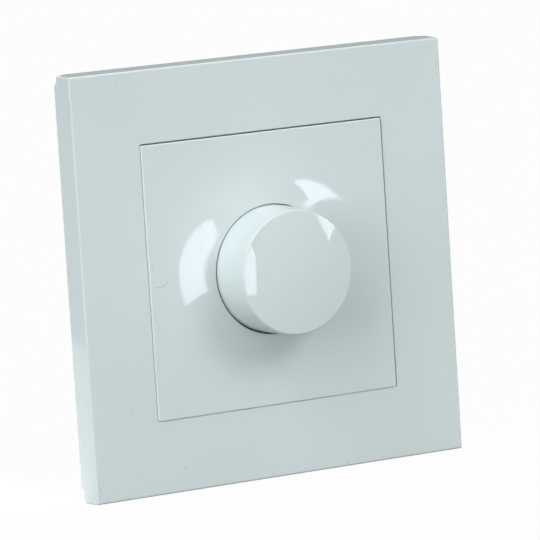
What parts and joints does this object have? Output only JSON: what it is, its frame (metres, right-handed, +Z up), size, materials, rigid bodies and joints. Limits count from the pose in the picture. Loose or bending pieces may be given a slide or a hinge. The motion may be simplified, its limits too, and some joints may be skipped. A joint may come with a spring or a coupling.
{
  "type": "rotary dimmer switch",
  "caption": "Flush-mounted rotary dimmer with a square cover frame, a square centre plate that flares up to a round knob, which turns to dim and pushes to switch.",
  "frame": {"origin": "on the shaft's axis, in the plane of the wall's surface, which the support plate lies on", "axes": "+X right as seen from the front, +Y into the wall along the shaft's axis, +Z up"},
  "size_m": [0.085, 0.0417, 0.085],
  "materials": {
    "cover_plastic": "glossy injection-moulded white plastic",
    "housing_plastic": "fine spark-eroded dark grey plastic",
    "steel": "zinc-plated pressed steel",
    "spring_steel": "bright spring steel",
    "brass": "turned brass",
    "copper": "enamelled copper wire",
    "contact_bronze": "stamped bronze",
    "phenolic": "brown phenolic moulding",
    "switch_plastic": "black moulding",
    "slider_plastic": "natural acetal",
    "board_laminate": "coated glass-fibre laminate",
    "ferrite": "coated iron powder ring",
    "capacitor_case": "moulded box",
    "resistor_body": "lacquered ceramic body",
    "triac_body": "epoxy moulding with a tinned tab",
    "pad_sheet": "thin insulating sheet",
    "fuse_glass": "clear glass tube"
  },
  "bodies": {
    "insert": {"cover_frame": "cover_plastic", "centre_plate": "cover_plastic", "fixing_nut": "steel", "nut_washer": "steel", "support_plate": "steel", "threaded_bush": "brass", "potentiometer_case": "phenolic", "resistance_wafer": "phenolic", "switch_case": "switch_plastic", "switch_base": "switch_plastic", "return_spring": "spring_steel", "fixed_contacts": "contact_bronze", "housing": "housing_plastic", "housing_screws": "steel", "circuit_board": "board_laminate", "choke_core": "ferrite", "choke_winding": "copper", "suppression_capacitor": "capacitor_case", "timing_capacitor": "capacitor_case", "resistors": "resistor_body", "triac": "triac_body", "triac_pad": "pad_sheet", "triac_rivet": "steel", "fuse_tube": "fuse_glass", "fuse_caps": "steel", "fuse_clips": "contact_bronze", "terminal_blocks": "brass", "terminal_screws": "steel"},
    "wiper_rotor": {"potentiometer_rotor": "slider_plastic", "wiper": "contact_bronze"},
    "turning_knob": {"knob": "cover_plastic", "knob_clip": "spring_steel", "control_shaft": "steel"},
    "switch_slider": {"switch_plunger": "slider_plastic", "contact_bridge": "contact_bronze"}
  },
  "joints": [
    {"name": "knob_turn", "type": "hinge", "parent": "insert", "child": "wiper_rotor", "pos_m": [0, 0, 0], "axis": [0, 1, 0], "range_deg": [-150, 150]},
    {"name": "knob_push", "type": "slide", "parent": "wiper_rotor", "child": "turning_knob", "axis": [0, 1, 0], "range_m": [0, 0.0012], "stiffness_N_per_m": 2000, "springref_m": -0.0015, "deforming": ["return_spring"]},
    {"name": "switch_push", "type": "slide", "parent": "insert", "child": "switch_slider", "axis": [0, 1, 0], "range_m": [0, 0.0012], "deforming": ["return_spring"]}
  ],
  "couplings": [
    {"joint": "switch_push", "follows": "knob_push", "ratio": 1}
  ]
}
